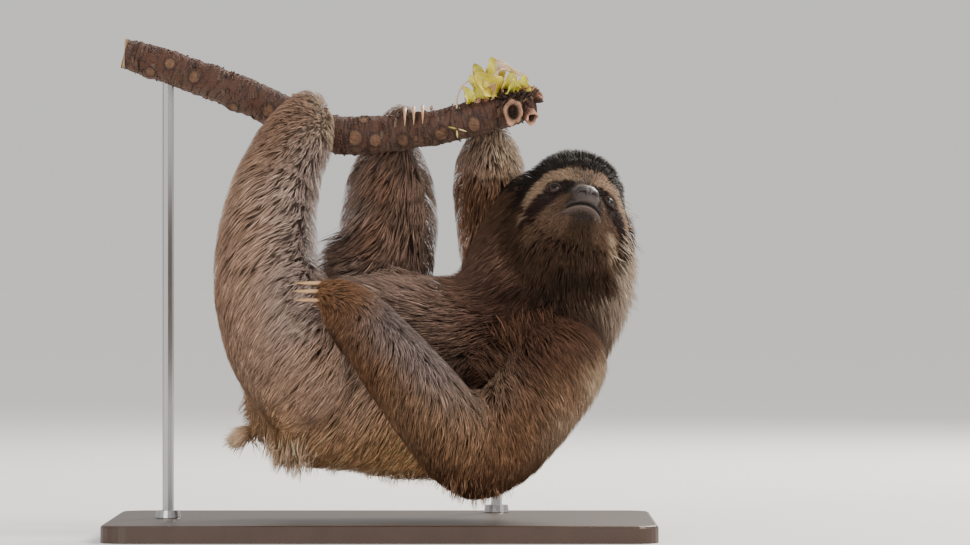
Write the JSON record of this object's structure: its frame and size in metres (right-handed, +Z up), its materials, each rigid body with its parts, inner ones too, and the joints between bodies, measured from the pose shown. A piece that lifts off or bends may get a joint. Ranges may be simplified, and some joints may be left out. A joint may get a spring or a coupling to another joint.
{
  "type": "three-toed sloth display model",
  "caption": "Life-size display model of a three-toed sloth hanging belly up under a cut branch, its near hand resting on its thigh, carried over a flat base by slim rods.",
  "frame": {"origin": "middle of the base plate's underside, which is also the bottom centre of the whole model's box", "axes": "+X along the branch, from the rump to the head; +Y away from the side the animal shows, so its left flank faces -Y; +Z up"},
  "size_m": [0.38, 0.26, 0.347],
  "materials": {
    "coat": "matt fur",
    "eye": "wet gloss",
    "nose": "satin",
    "claw": "satin horn",
    "bark": "rough bark",
    "leaf": "satin leaf",
    "stand_wood": "dark satin",
    "stand_steel": "satin"
  },
  "bodies": {
    "root": {"trunk": "coat", "neck": "coat", "head": "coat", "tail": "coat", "arm_left_upper": "coat", "arm_left_forearm": "coat", "hand_left": "coat", "arm_right_upper": "coat", "arm_right_forearm": "coat", "hand_right": "coat", "leg_left_thigh": "coat", "leg_left_shank": "coat", "foot_left": "coat", "leg_right_thigh": "coat", "leg_right_shank": "coat", "foot_right": "coat", "eye_left": "eye", "eye_right": "eye", "nose": "nose", "claw_hand_left_1": "claw", "claw_hand_left_2": "claw", "claw_hand_left_3": "claw", "claw_hand_right_1": "claw", "claw_hand_right_2": "claw", "claw_hand_right_3": "claw", "claw_foot_left_1": "claw", "claw_foot_left_2": "claw", "claw_foot_left_3": "claw", "claw_foot_right_1": "claw", "claw_foot_right_2": "claw", "claw_foot_right_3": "claw", "branch": "bark", "leaf_1": "leaf", "leaf_2": "leaf", "leaf_3": "leaf", "leaf_4": "leaf", "leaf_5": "leaf", "stand_base": "stand_wood", "stand_rod_left": "stand_steel", "stand_rod_right": "stand_steel"}
  },
  "joints": []
}
